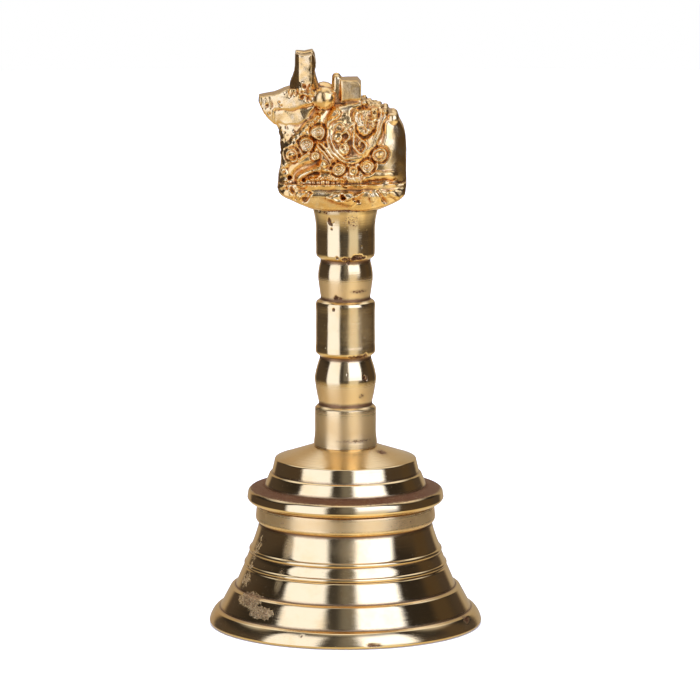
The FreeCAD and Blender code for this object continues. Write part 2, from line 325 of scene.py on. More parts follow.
def limb(start, end, start_radius, end_radius):
    """Round bar between two points."""
    run = np.array(end) - np.array(start)
    along = ((X - start[0]) * run[0] + (Y - start[1]) * run[1] + (Z - start[2]) * run[2]) / (run @ run)
    along = np.clip(along, 0, 1)
    far = np.sqrt((X - start[0] - along * run[0]) ** 2 + (Y - start[1] - along * run[1]) ** 2
                  + (Z - start[2] - along * run[2]) ** 2)
    return far - (start_radius + (end_radius - start_radius) * along)


BASE_SIDE = [
    (-7.6, 109.2), (-8.7, 109.1), (-10.2, 109.6), (-12.7, 110.5), (-15.1, 111.5), (-16.4, 112.6),
    (-17.1, 113.6), (-17.6, 115.0), (-17.2, 116.2), (15.4, 116.4), (15.7, 115.6), (15.3, 113.2),
    (14.5, 112.1), (13.7, 111.0), (12.2, 110.0), (9.9, 109.1), (8.4, 108.8), (7.4, 109.2),
]
BODY_SIDE = [
    (-17.3, 115.0), (-17.4, 117.4), (-16.9, 119.4), (-16.5, 121.0), (-16.5, 123.0), (-16.8, 126.0),
    (-16.8, 128.0), (-17.2, 129.6), (-17.9, 131.2), (-17.9, 136.0), (-9.0, 139.6), (-3.0, 139.9),
    (4.0, 138.0), (4.9, 137.2), (7.3, 135.9), (10.4, 135.0), (12.6, 133.8), (14.0, 132.1),
    (15.0, 130.2), (15.5, 128.2), (15.7, 124.5), (15.7, 115.0),
]
SKULL_SIDE = [
    (-22.3, 138.2), (-22.4, 137.0), (-21.9, 135.6), (-21.0, 133.9), (-19.8, 132.4), (-18.2, 131.0),
    (-17.7, 131.4), (-17.9, 135.1), (-13.0, 135.2), (-8.6, 136.9), (-5.0, 137.2), (-3.0, 139.7),
    (-7.0, 140.2), (-14.6, 140.3), (-16.6, 139.6), (-18.6, 138.8),
]
THROAT_SIDE = [
    (-17.9, 131.0), (-17.9, 136.0), (-14.0, 138.0), (-7.6, 138.0), (-8.0, 135.6), (-10.2, 132.8),
    (-12.2, 130.9),
]
BROW_NOTCHES = [(-15.5, 139.1, 0.8), (-14.3, 138.2, 1.2), (-12.9, 138.6, 1.1)]     # x, foot, width
HORN_SIDE = [
    (-12.9, 149.5), (-13.0, 146.0), (-13.2, 144.4), (-13.7, 143.0), (-14.5, 141.4), (-14.2, 139.0),
    (-7.6, 139.0), (-6.9, 140.6), (-7.6, 142.9), (-8.0, 144.6), (-7.6, 146.2), (-7.9, 148.6),
    (-8.5, 149.6), (-10.6, 149.2),
]
HUMP_SIDE = [
    (-1.3, 142.6), (-1.3, 133.0), (4.3, 133.0), (4.1, 138.2), (4.1, 141.4), (3.1, 142.6),
]


def lump(field, x, y, z, radius, blend):
    """Joins a ball to the field, touching only the grid round it."""
    reach = radius + 1.2
    window = []
    for axis, centre in ((FIELD_X, x), (FIELD_Y, y), (FIELD_Z, z)):
        first, last = np.searchsorted(axis, (centre - reach, centre + reach))
        window.append(slice(first, last))
    a, b, c = window
    far = np.sqrt((FIELD_X[a, None, None] - x) ** 2 + (FIELD_Y[None, b, None] - y) ** 2
                  + (FIELD_Z[None, None, c] - z) ** 2)
    field[a, b, c] = smooth_min(field[a, b, c], far - radius, blend)


def stud(field, y, z, radius):
    """Ball half sunk in the chest, at the height z and y off the middle."""
    column = field[:, np.searchsorted(FIELD_Y, y), np.searchsorted(FIELD_Z, z)]
    solid = np.flatnonzero(column < 0)
    lump(field, FIELD_X[solid[0]] + 0.6 * radius, y, z, radius, 0.15)


def base_mass():
    """Base: blunt oval in plan, rounded in below and cut to a cone round the collar."""
    middle, half_length, half_width = -0.9, 17.6, 9.6
    plan = (1 - np.clip(np.abs(X - middle) / half_length, 0, 0.999) ** 4) ** 0.25
    bowl = 1.1 * np.sqrt(np.clip((113.0 - Z) / 4.0, 0, 2))
    base = prism(BASE_SIDE, half_width * plan - bowl, 1.0)
    cone = (np.sqrt(X * X + Y * Y) - 9.0 - (Z - 108.6) * 2.0) * 0.45
    return smooth_max(base, cone, 0.8)


def trunk_mass():
    """Trunk: bulging flanks, slimmer ahead of the neck strap, rounded at chest and rump."""
    barrel = 8.8 * np.sqrt(np.clip(1 - ((Z - 121.5) / 17.8) ** 2, 0.02, 1))
    before_strap = np.clip((-0.735 * (X + 14.4) + 0.678 * (Z - 126.0)) / 1.2, 0, 1)
    barrel = barrel - (1.1 - 0.5 * np.clip((Z - 130) / 3, 0, 1)) * before_strap
    front_round = (1 - np.clip((-0.5 - X) / 17.9, 0, 0.999) ** 3.2) ** 0.4
    rear_turn = 0.10 * np.clip(X - 9.4, 0, 9) ** 2
    return prism(BODY_SIDE, barrel * front_round - rear_turn, 1.2)


def skull_flank(x):
    """Half width of the head, which widens backwards from the muzzle."""
    return 3.4 + 0.25 * (x + 22.4)


def with_head(whole):
    """Adds throat and skull, cuts the notches of the brow and sets the ears on."""
    skull_width = skull_flank(X) - 0.02 * (Z - 137) ** 2
    throat = prism(THROAT_SIDE, np.minimum(skull_width - 0.1, 5.9), 0.5)
    whole = smooth_min(whole, throat, 0.8)
    whole = smooth_min(whole, prism(SKULL_SIDE, skull_width, 0.7), 0.3)
    for x, foot, width in BROW_NOTCHES:
        flank = skull_flank(x)
        notch = limb((x + 0.5, flank - 0.5, 141.2), (x, flank + 0.1, foot), width, 0.25)
        whole = smooth_max(whole, -notch, 0.15)
    ear = sphere(-5.5, 5.6, 138.1, 3.0)
    return smooth_min(whole, ear, 0.3)


def horn_mass():
    """Upright horn with bevelled front and rear faces, parted from its twin and chipped at the foot."""
    bevel = 1.2 * np.clip(-11.9 - X, 0, 4) + 1.2 * np.clip(X + 8.8, 0, 4)
    horn = prism(HORN_SIDE, 6.0 + 0.25 * (X + 10.6) - bevel + 0.04 * np.sin(2.2 * Z + X), 0.5)
    horn = smooth_max(horn, 1.5 - Y, 0.8)
    chip = limb((-11.8, 6.3, 142.4), (-10.6, 6.1, 141.2), 0.35, 0.5)
    return smooth_max(horn, -chip, 0.3)


def masses():
    """Base, trunk, head, horns, ears and hump, before any ornament."""
    whole = smooth_min(base_mass(), trunk_mass(), 0.4)
    whole = with_head(whole)
    whole = smooth_min(whole, horn_mass(), 0.35)
    hump = prism(HUMP_SIDE, 5.0 + 0.19 * (X - 1.4), 0.5)
    whole = smooth_min(whole, hump, 0.3)
    knob = limb((-2.2, 2.4, 138.0), (-2.3, 2.0, 142.7), 1.5, 1.15)
    whole = smooth_min(whole, knob, 0.8)
    beside_tail = limb((16.1, 2.3, 132.0), (16.3, 2.6, 117.8), 1.1, 1.0)
    whole = smooth_max(whole, -beside_tail, 0.5)
    nostril = sphere(-22.4, 1.5, 136.6, 0.7)
    whole = smooth_max(whole, -nostril, 0.3)
    rump_roll = limb((12.2, 0.0, 132.7), (12.2, 6.0, 132.7), 1.5, 1.3) - 0.15 * np.sin(Y * 4.2)
    return smooth_min(whole, rump_roll, 0.3)


# Ornament is a height over the flank, as a function of x and z. Its lines wander a little, as cast ones do.
relief = np.zeros(SIDE_X.shape)
RELIEF_GAIN = 1.25
CURVE_STEPS = 8          # straight runs between two points of a curve
CAST_X = SIDE_X + 0.13 * np.sin(1.5 * SIDE_Z + 0.6 * SIDE_X) + 0.04 * np.sin(4.1 * SIDE_X - 2.3 * SIDE_Z)
CAST_Z = SIDE_Z + 0.13 * np.sin(1.6 * SIDE_X - 0.8 * SIDE_Z) + 0.04 * np.sin(3.7 * SIDE_Z + 2.9 * SIDE_X)


def curve(points):
    """Smooth run of points through those given."""
    p = [np.array(q, float) for q in points]
    p = [2 * p[0] - p[1]] + p + [2 * p[-1] - p[-2]]
    run = []
    for a, b, c, d in zip(p, p[1:], p[2:], p[3:]):
        for t in np.arange(CURVE_STEPS) / CURVE_STEPS:
            run.append(0.5 * (2 * b + (c - a) * t + (2 * a - 5 * b + 4 * c - d) * t * t
                              + (3 * b - a - 3 * c + d) * t ** 3))
    return np.array(run + [p[-2]])


def away(points):
    """Distance of every grid point from a run of points."""
    near = np.full(CAST_X.shape, 1e9)
    for start, end in zip(points[:-1], points[1:]):
        near = np.minimum(near, off_segment(start, end, CAST_X, CAST_Z))
    return np.sqrt(near)


def patch(corners):
    """Signed distance to an area of the flank, negative inside."""
    return polygon(corners, CAST_X, CAST_Z)


def raised(area, height, steepness):
    """Lifts an area, given the signed distance to its edge."""
    relief[...] += height * np.clip(-area * steepness, 0, 1)


def rounded(distance, half_width):
    """Round profile: 1 in the middle, 0 from half_width on."""
    return np.sqrt(np.clip(1 - (distance / half_width) ** 2, 0, 1))


def cord(points, half_width, height):
    """Round ridge along a curve, standing on what is there already."""
    relief[...] += height * rounded(away(curve(points)), half_width)


def gouge(points, half_width, depth):
    """Round groove along a curve."""
    relief[...] -= depth * rounded(away(curve(points)), half_width)


def shares(count):
    """Evenly spaced numbers from 0 to 1."""
    return [step / (count - 1) for step in range(count)]


def disc(x, z, across, up=None):
    """Distance from a centre, 1 at the rim of a circle or an oval."""
    return np.sqrt(((CAST_X - x) / across) ** 2 + ((CAST_Z - z) / (up or across)) ** 2)


def bead(x, z, radius, height):
    """Round grain, or a pit where the height is negative."""
    relief[...] += height * rounded(disc(x, z, radius), 1)


def rosette(x, z, radius, height, rings=2):
    """Round medallion: a raised plate with a rim, an inner ring and a boss, in a groove of its own."""
    far = disc(x, z, radius)
    plate = np.clip((1.05 - far) * 8, 0, 1)
    relief[...] = relief * (1 - plate) + height * 0.5 * plate
    relief[...] += height * 0.55 * rounded(far - 0.84, 0.2)
    relief[...] -= height * 0.35 * rounded(far - 0.64, 0.12)
    if rings > 1:
        relief[...] += height * 0.4 * rounded(far - 0.45, 0.15)
        relief[...] -= height * 0.3 * rounded(far - 0.27, 0.1)
    relief[...] += height * 0.5 * rounded(far, 0.2)
    relief[...] -= height * 0.6 * rounded(far - 1.17, 0.15)


def spiral(x, z, radius, turns, start, sense=1):
    """Points of a curl that winds inwards from its rim."""
    steps = np.arange(int(12 * turns) + 1)
    size = radius * (1 - 0.75 * steps / steps[-1])
    angle = math.radians(start) + sense * steps * math.pi / 6
    return [(x + s * math.cos(a), z + s * math.sin(a)) for s, a in zip(size, angle)]


SADDLE_RIM = [
    (-4.9, 127.9), (-4.2, 125.6), (-2.6, 123.6), (-1.3, 122.5), (0.7, 121.7), (2.3, 122.0),
    (4.8, 123.1), (6.5, 124.9), (8.3, 127.8), (9.4, 131.1), (10.4, 134.6),
]
SADDLE_INNER_RIM = [
    (-3.7, 128.6), (-3.4, 126.8), (-2.1, 124.4), (-0.6, 123.3), (1.4, 122.8), (3.0, 123.0),
    (4.5, 123.7), (6.1, 125.5), (7.4, 127.9), (8.2, 131.0), (9.0, 134.6),
]


def polygon_holds(x, z, distance):
    """Whether a place lies inside an area, given the distance to its edge."""
    i = int(round((x - FIELD_X[0]) / VOXEL))
    k = int(round((z - FIELD_Z[0]) / VOXEL))
    return distance[i, k] < 0


def saddle():
    """Cloth with a double rim, a scroll, a hooked sprig and a pebbled pouch."""
    cloth = patch(SADDLE_RIM + [(9.5, 136.0), (4.0, 137.0), (-3.0, 136.0), (-5.2, 132.0)])
    raised(cloth, 0.35, 3)
    relief[...] -= 0.30 * rounded(cloth - 0.5, 0.45)
    relief[...] -= 0.25 * np.clip(-(cloth + 1.4) * 2, 0, 1)
    cord(SADDLE_RIM, 0.5, 0.55)
    cord(SADDLE_INNER_RIM, 0.32, 0.4)
    between_rims = [(x * 0.5 + u * 0.5, z * 0.5 + w * 0.5)
                    for (x, z), (u, w) in zip(SADDLE_RIM, SADDLE_INNER_RIM)]
    gouge(between_rims, 0.28, 0.3)
    cord([(-4.9, 131.0), (-3.9, 132.6), (-2.6, 133.2), (-1.5, 134.3), (-2.2, 135.4)], 0.5, 0.5)
    cord([(-3.2, 130.6), (-2.2, 131.7), (-0.9, 131.9), (0.2, 131.0)], 0.35, 0.4)
    upper = spiral(-1.7, 128.3, 1.25, 1.4, 60)
    lower = spiral(-0.6, 125.6, 1.3, 1.3, 330, -1)
    stroke = upper[::-1] + [(-0.2, 129.9), (0.8, 129.3), (0.9, 128.2), (0.0, 127.3)]
    stroke += [(0.2, 126.9), (0.9, 126.0)] + lower
    cord(stroke, 0.44, 0.75)
    sprig = [(2.2, 129.6), (2.0, 127.8), (2.2, 126.2), (3.0, 124.9), (4.2, 124.4), (5.1, 125.3),
             (5.2, 126.6), (4.4, 127.5), (3.5, 127.1), (3.6, 126.2)]
    cord(sprig, 0.42, 0.7)
    pouch = patch([(2.0, 135.0), (2.0, 132.6), (3.2, 130.2), (4.4, 128.4), (5.6, 128.6), (7.4, 130.6),
                   (8.2, 133.0), (8.6, 136.0)])
    raised(pouch, 0.5, 2.5)
    relief[...] -= 0.4 * rounded(pouch - 0.3, 0.35)
    for _ in range(60):
        x, z = RANDOM.uniform(2.4, 8.2), RANDOM.uniform(129.2, 135.6)
        if polygon_holds(x, z, pouch):
            bead(x, z, RANDOM.uniform(0.35, 0.55), 0.4)
    cord([(-0.3, 130.4), (0.9, 130.9), (2.0, 131.8), (2.4, 130.4), (3.0, 129.0), (4.0, 128.0)], 0.3, 0.45)
    for _ in range(70):
        x, z = RANDOM.uniform(-4.0, 7.5), RANDOM.uniform(122.5, 134.5)
        if polygon_holds(x, z, cloth + 0.8):
            bead(x, z, RANDOM.uniform(0.2, 0.38), RANDOM.choice((0.22, -0.2)))


def harness():
    """Neck strap with rosettes, the chest ribbon and the medallions hung under the cloth."""
    cord([(-13.6, 127.6), (-10.3, 131.1), (-7.0, 134.0)], 0.28, 0.5)
    for share in shares(9):
        arch = 0.5 * math.sin(math.pi * share)
        bead(-13.0 + 6.0 * share, 126.7 + 7.0 * share + arch, 0.55, 0.45)
    for share in shares(6):
        bead(-11.2 + 4.6 * share, 129.6 + 4.0 * share, 0.42, 0.4)
    cord([(-9.4, 131.6), (-8.5, 131.2), (-8.2, 132.4), (-9.0, 132.7)], 0.25, 0.4)
    rosette(-7.0, 129.5, 1.85, 0.85)
    rosette(-9.9, 126.5, 1.85, 0.85)
    rosette(-13.8, 123.6, 1.75, 0.8, 1)
    rosette(-7.8, 123.6, 1.15, 0.7, 1)
    cord([(-15.4, 121.4), (-13.6, 121.9), (-11.3, 123.0), (-8.9, 125.0)], 0.55, 0.5)
    gouge([(-15.0, 122.4), (-12.6, 123.3), (-10.0, 124.6)], 0.3, 0.35)
    cord([(-7.3, 126.6), (-5.6, 124.6), (-4.3, 123.0), (-3.7, 121.0)], 0.35, 0.55)
    cord([(-6.6, 127.0), (-4.9, 125.1), (-3.6, 123.4), (-2.6, 122.3)], 0.35, 0.5)
    gouge([(-6.9, 126.8), (-5.2, 124.8), (-3.9, 123.2)], 0.28, 0.5)
    cord([(-4.7, 127.0), (-4.5, 125.0), (-3.0, 123.0)], 0.25, 0.3)
    rosette(8.8, 123.9, 1.9, 0.7, 1)
    rosette(5.6, 120.9, 1.75, 0.75)
    rosette(-1.7, 120.2, 1.7, 0.75)
    rosette(2.0, 119.8, 1.3, 0.5, 1)
    relief[...] += 0.9 * rounded(disc(-5.8, 121.3, 1.35, 1.2), 1)
    cord([(-2.9, 121.9), (-1.0, 121.6), (1.0, 120.9), (3.6, 121.4), (6.6, 122.6)], 0.3, 0.35)


def legs():
    """Folded foreleg, hind leg and the beaded band between them."""
    hollow = [(-7.4, 118.9), (-10.2, 117.6), (-12.9, 116.0), (-13.2, 118.4), (-10.6, 120.8), (-7.0, 121.9)]
    gouge(hollow, 0.8, 0.5)
    cord([(-6.6, 120.5), (-9.4, 119.5), (-11.7, 118.0), (-12.0, 116.6), (-10.6, 116.0)], 0.8, 1.0)
    cord([(-8.3, 119.9), (-5.6, 120.0), (-3.2, 119.5)], 0.5, 0.6)
    gouge([(-10.6, 117.3), (-8.0, 118.6), (-4.4, 118.9)], 0.5, 0.3)
    for share in shares(8):
        bead(-10.0 + 8.6 * share, 117.3 + 0.35 * math.sin(math.pi * share), 0.52, 0.65)
        bead(-9.4 + 8.6 * share, 116.3 + 0.2 * math.sin(math.pi * share), 0.46, 0.55)
    cord([(-9.8, 118.0), (-6.0, 118.7), (-2.6, 118.2), (-0.3, 117.2)], 0.3, 0.4)
    bead(-1.0, 117.1, 0.95, 0.9)
    for step in range(5):
        x = 0.9 + 0.75 * step
        cord([(x - 0.5, 118.4 - 0.1 * step), (x + 0.1, 116.6)], 0.3, 0.45)
    cord([(5.2, 117.9), (8.4, 118.7), (12.2, 118.4)], 1.1, 0.8)
    gouge([(5.4, 116.9), (8.6, 117.2), (12.0, 117.1)], 0.4, 0.2)
    gouge([(-13.5, 114.9), (-6.0, 114.9), (2.0, 115.0), (9.0, 115.3), (14.5, 115.6)], 0.9, 0.45)
    cord([(-0.5, 116.0), (6.0, 116.2), (13.2, 116.4)], 0.4, 0.35)


def rump_and_chest():
    """Flat panel and upright hollow of the hind quarter, and the worn, lumpy chest."""
    cord([(10.0, 135.2), (11.3, 134.9), (12.3, 135.0)], 0.35, 0.5)
    gouge([(9.8, 134.4), (9.9, 130.0), (9.4, 126.4)], 0.35, 0.4)
    cord([(-16.2, 121.0), (-15.5, 118.6), (-15.6, 116.0)], 0.8, 0.6)
    for _ in range(16):
        bead(RANDOM.uniform(-16.5, -14.2), RANDOM.uniform(114.6, 122.4), RANDOM.uniform(0.35, 0.7),
             RANDOM.choice((0.5, -0.45)))
    for _ in range(26):
        bead(RANDOM.uniform(-16.0, -11.5), RANDOM.uniform(124.8, 130.8), RANDOM.uniform(0.2, 0.4), -0.25)


def base_front():
    """Plates, slots and the pointed leaf on the base."""
    gouge([(-13.7, 115.2), (-12.9, 112.4)], 0.4, 0.5)
    gouge([(-9.1, 114.1), (-10.0, 112.9), (-10.8, 112.0)], 0.55, 0.7)
    cord([(-12.0, 112.6), (-10.6, 113.9)], 0.45, 0.45)
    front_plate = patch([(-17.2, 115.2), (-14.2, 114.9), (-13.9, 112.6), (-15.4, 111.8)])
    raised(front_plate, 0.35, 3)
    tooth = patch([(-12.6, 114.6), (-11.7, 114.4), (-12.0, 112.4)])
    raised(tooth, 0.3, 4)
    leaf = patch([(-4.8, 112.7), (-2.6, 114.2), (-0.4, 114.6), (2.0, 114.1), (4.6, 114.4), (3.4, 112.0),
                  (1.4, 110.4), (-0.6, 110.7), (-2.8, 111.6)])
    raised(leaf, 0.55, 1.6)
    cord([(-4.6, 112.8), (-1.8, 112.0), (1.0, 112.6), (4.4, 114.4)], 0.35, 0.45)
    gouge([(-0.9, 113.4), (-0.6, 112.6)], 0.6, 1.2)
    gouge([(2.0, 112.8), (3.4, 111.6)], 0.4, 0.5)
    gouge([(8.4, 114.4), (9.4, 112.8), (10.4, 111.4)], 0.45, 0.5)
    cord([(6.2, 114.2), (7.2, 112.0)], 0.5, 0.35)
    cord([(11.6, 114.2), (13.6, 112.4)], 0.8, 0.35)


def head_detail():
    """Curls between brow and horn, the eye, and the creases of muzzle, jaw and throat."""
    for _ in range(8):
        x, z = RANDOM.uniform(-12.0, -8.4), RANDOM.uniform(139.8, 141.4)
        lean = RANDOM.uniform(0.1, 0.9)
        cord([(x, z + 0.8), (x + lean * 0.3, z), (x + lean, z - 0.9)], 0.32, 0.5)
    gouge([(-11.4, 138.6), (-10.3, 138.2), (-9.3, 137.7)], 0.7, 0.6)
    bead(-10.4, 138.1, 0.5, 0.5)
    cord([(-12.0, 138.6), (-11.0, 139.4), (-9.4, 139.0)], 0.3, 0.4)
    gouge([(-17.9, 134.9), (-15.0, 134.8), (-12.6, 135.0), (-8.4, 136.3)], 0.3, 0.25)
    gouge([(-18.2, 135.0), (-18.3, 131.4)], 0.25, 0.25)
    gouge([(-17.4, 131.4), (-14.6, 131.0), (-12.0, 131.3), (-10.2, 132.4)], 0.35, 0.2)
    for x in (-21.5, -20.3, -19.2):
        gouge([(x, 138.0), (x + 0.15, 136.8), (x + 0.2, 135.4)], 0.28, 0.25)
    for x, z in ((-16.9, 137.0), (-16.6, 136.1), (-19.4, 133.9), (-20.2, 136.0)):
        bead(x, z, 0.28, -0.5)


def softened(height):
    """Takes the sharpness of the tool off the ornament."""
    kernel = np.array([0.06, 0.2, 0.48, 0.2, 0.06])
    for axis in (0, 1):
        height = np.apply_along_axis(np.convolve, axis, height, kernel, "same")
    return height


def surface(field):
    """Closed quad mesh where the field crosses zero (surface nets)."""
    inside = field < 0
    nx, ny, nz = field.shape
    corners = [(i, j, k) for i in (0, 1) for j in (0, 1) for k in (0, 1)]
    windows = [inside[i:nx - 1 + i, j:ny - 1 + j, k:nz - 1 + k] for i, j, k in corners]
    total = sum(w.astype(np.int8) for w in windows)
    cells = np.argwhere((total > 0) & (total < 8))
    index = np.full((nx - 1, ny - 1, nz - 1), -1, np.int64)
    index[tuple(cells.T)] = np.arange(len(cells))
    values = np.stack([field[cells[:, 0] + i, cells[:, 1] + j, cells[:, 2] + k]
                       for i, j, k in corners], axis=1)
    place = np.zeros((len(cells), 3))
    count = np.zeros(len(cells))
    for a in range(8):
        for b in range(a + 1, 8):
            step = np.array(corners[b]) - np.array(corners[a])
            if np.abs(step).sum() != 1:
                continue
            crossing = (values[:, a] < 0) != (values[:, b] < 0)
            share = values[:, a] / np.where(crossing, values[:, a] - values[:, b], 1)
            on_edge = np.array(corners[a]) + share[:, None] * step
            place += np.where(crossing[:, None], on_edge, 0)
            count += crossing
    points = cells + place / count[:, None]
    quads = []
    for axis in range(3):
        u, v = [(1, 2), (2, 0), (0, 1)][axis]
        flips = inside != np.roll(inside, -1, axis=axis)
        mask = np.zeros_like(inside)
        mask[1:-1, 1:-1, 1:-1] = flips[1:-1, 1:-1, 1:-1]
        edges = np.argwhere(mask)
        around = []
        for du, dv in ((0, 0), (-1, 0), (-1, -1), (0, -1)):
            cell = edges.copy()
            cell[:, u] += du
            cell[:, v] += dv
            around.append(index[tuple(cell.T)])
        quad = np.stack(around, axis=1)
        outward = inside[tuple(edges.T)]
        quad = np.where(outward[:, None], quad, quad[:, ::-1])
        quads.append(quad)
    return points, np.concatenate(quads)


def figure_mesh():
    """The whole cast bull with its ornament."""
    whole = masses()
    saddle()
    harness()
    legs()
    rump_and_chest()
    base_front()
    head_detail()
    facing = np.clip(np.gradient(whole, VOXEL, axis=1), 0, 1) ** 1.5
    flank = np.clip((Y - 2.0) / 1.5, 0, 1)
    whole = whole - RELIEF_GAIN * softened(relief)[:, None, :] * facing * flank
    for _ in range(60):
        share = RANDOM.random()
        y = RANDOM.uniform(0.0, 6.2)
        z = 136.9 - 2.4 * share + RANDOM.uniform(-0.5, 0.2)
        lump(whole, 4.6 + 6.0 * share, y, z, RANDOM.uniform(0.4, 0.8), 0.2)
    for row_z, radius in ((122.0, 0.8), (125.4, 0.65), (128.2, 0.55)):
        for y in np.arange(0.0, 4.6, 1.3):
            stud(whole, y, row_z + 0.12 * y * y, radius)
    both = np.concatenate([whole[:, :0:-1, :], whole], axis=1)
    points, quads = surface(both)
    origin = np.array([FIELD_X[0], -FIELD_Y[-1], FIELD_Z[0]])
    return mesh_from("nandi_figure", origin + points * VOXEL, quads.tolist())


def thinned(mesh):
    """The same mesh with fewer triangles where it is flat, MOST_TRIANGLES in all."""
    triangles = sum(len(face.vertices) - 2 for face in mesh.polygons)
    helper = new_object("thinned", mesh)
    modifier = helper.modifiers.new("thin", "DECIMATE")
    modifier.ratio = min(1.0, MOST_TRIANGLES / triangles)
    graph = bpy.context.evaluated_depsgraph_get()
    result = bpy.data.meshes.new_from_object(helper.evaluated_get(graph))
    bpy.data.objects.remove(helper)
    return result


def smoothed(mesh, points, rounds):
    """Points after each has moved towards its neighbours that many times."""
    ends = np.empty(len(mesh.edges) * 2, np.int64)
    mesh.edges.foreach_get("vertices", ends)
    a, b = ends.reshape(-1, 2).T
    count = len(points)
    degree = np.bincount(a, minlength=count) + np.bincount(b, minlength=count)
    for _ in range(rounds):
        total = np.stack([np.bincount(a, points[b, k], count) + np.bincount(b, points[a, k], count)
                          for k in range(3)], axis=1)
        points = points * 0.4 + 0.6 * total / degree[:, None]
    return points


def cast_skin(mesh):
    """Roughens a casting a little and stores how recessed each point is."""
    points, normals = read_points(mesh), read_normals(mesh)
    uneven = np.array([noise.noise(Vector(p) / 2.8) * 0.11 + noise.noise(Vector(p) / 1.2) * 0.035
                       + noise.noise(Vector(p) / 0.45) * 0.015 for p in points])
    points = points + normals * uneven[:, None]
    write_points(mesh, points)
    near = ((smoothed(mesh, points, 10) - points) * normals).sum(axis=1)
    wide = ((smoothed(mesh, points, 60) - points) * normals).sum(axis=1)
    store(mesh, "recess", near * 1.5 + wide * 0.5)


# ---- materials

class Nodes:
    """Short way to lay out a node tree."""

    def __init__(self, tree):
        self.tree = tree
        tree.nodes.clear()

    def add(self, kind, **settings):
        """New node with its own settings, such as its operation."""
        node = self.tree.nodes.new(kind)
        for name, value in settings.items():
            setattr(node, name, value)
        return node

    def join(self, source, target):
        self.tree.links.new(source, target)

    def feed(self, node, inputs):
        """Sets each input to a number, or links it where it is another node's output."""
        for name, value in inputs.items():
            if isinstance(value, bpy.types.NodeSocket):
                self.join(value, node.inputs[name])
            else:
                node.inputs[name].default_value = value
        return node

    def math(self, operation, a, b=0.0):
        node = self.add("ShaderNodeMath", operation=operation)
        return self.feed(node, {0: a, 1: b}).outputs[0]

    def times(self, a, b):
        return self.math("MULTIPLY", a, b)

    def plus(self, a, b):
        return self.math("ADD", a, b)

    def ramp(self, value, low, high, to_low=0.0, to_high=1.0):
        """value carried smoothly from low..high to to_low..to_high."""
        node = self.add("ShaderNodeMapRange", interpolation_type="SMOOTHSTEP")
        return self.feed(node, {"Value": value, "From Min": low, "From Max": high,
                                "To Min": to_low, "To Max": to_high}).outputs[0]

    def noise(self, vector, scale, detail=2.0, rough=0.5, dimensions="3D"):
        node = self.add("ShaderNodeTexNoise", noise_dimensions=dimensions)
        inputs = {"Scale": scale, "Detail": detail, "Roughness": rough}
        inputs["W" if dimensions == "1D" else "Vector"] = vector
        return self.feed(node, inputs).outputs["Fac"]

    def blend(self, share, first, second):
        node = self.add("ShaderNodeMix", data_type="RGBA")
        node.clamp_factor = True
        self.feed(node, {0: share})
        for index, colour in ((6, first), (7, second)):
            if isinstance(colour, bpy.types.NodeSocket):
                self.join(colour, node.inputs[index])
            else:
                node.inputs[index].default_value = (*colour, 1.0)
        return node.outputs[2]

    def bump(self, height, distance, under=None):
        """Bumps that stand distance metres proud where height is 1, on top of those under."""
        node = self.add("ShaderNodeBump")
        self.feed(node, {"Height": height, "Distance": distance, "Strength": 1.0})
        if under:
            self.join(under, node.inputs["Normal"])
        return node.outputs[0]


BRASS = (0.88, 0.64, 0.30)
CAST_BRASS = (0.93, 0.66, 0.31)
GOLDEN_BRASS = (0.88, 0.54, 0.18)
RED_BRASS = (0.68, 0.30, 0.09)
DULL_BROWN = (0.36, 0.19, 0.075)
PIT_BROWN = (0.22, 0.09, 0.035)
TARNISH = (0.17, 0.07, 0.025)
CRUST = (0.90, 0.61, 0.28)
STEEL = (0.56, 0.55, 0.52)
DULL_STEEL = (0.33, 0.30, 0.26)
HAZE = 0.05              # how far the roughness of turned brass strays


def metal(name, roughness, anisotropy=0.0):
    """New metallic material: its node helper, shader and mm coordinates."""
    material = bpy.data.materials.new(name)
    material.use_nodes = True
    nodes = Nodes(material.node_tree)
    shader = nodes.add("ShaderNodeBsdfPrincipled")
    nodes.feed(shader, {"Metallic": 1.0, "Roughness": roughness, "Anisotropic": anisotropy})
    output = nodes.add("ShaderNodeOutputMaterial")
    nodes.join(shader.outputs[0], output.inputs["Surface"])
    place = nodes.add("ShaderNodeTexCoord").outputs["Object"]
    scaled = nodes.feed(nodes.add("ShaderNodeVectorMath", operation="SCALE"), {0: place, "Scale": 1000.0})
    return material, nodes, shader, scaled.outputs[0]


def turned_marks(nodes, place):
    """Height of fine cutter marks that run round the axis."""
    parts = nodes.feed(nodes.add("ShaderNodeSeparateXYZ"), {0: place})
    across = nodes.math("POWER", parts.outputs["X"], 2.0)
    along = nodes.math("POWER", parts.outputs["Y"], 2.0)
    radius = nodes.math("SQRT", nodes.plus(across, along))
    wander = nodes.times(nodes.noise(place, 0.05), 0.5)
    track = nodes.plus(nodes.math("SUBTRACT", parts.outputs["Z"], radius), wander)
    fine = nodes.noise(track, 3.4, 3.0, 0.7, "1D")
    broad = nodes.noise(track, 1.1, 2.0, 0.6, "1D")
    return fine, broad


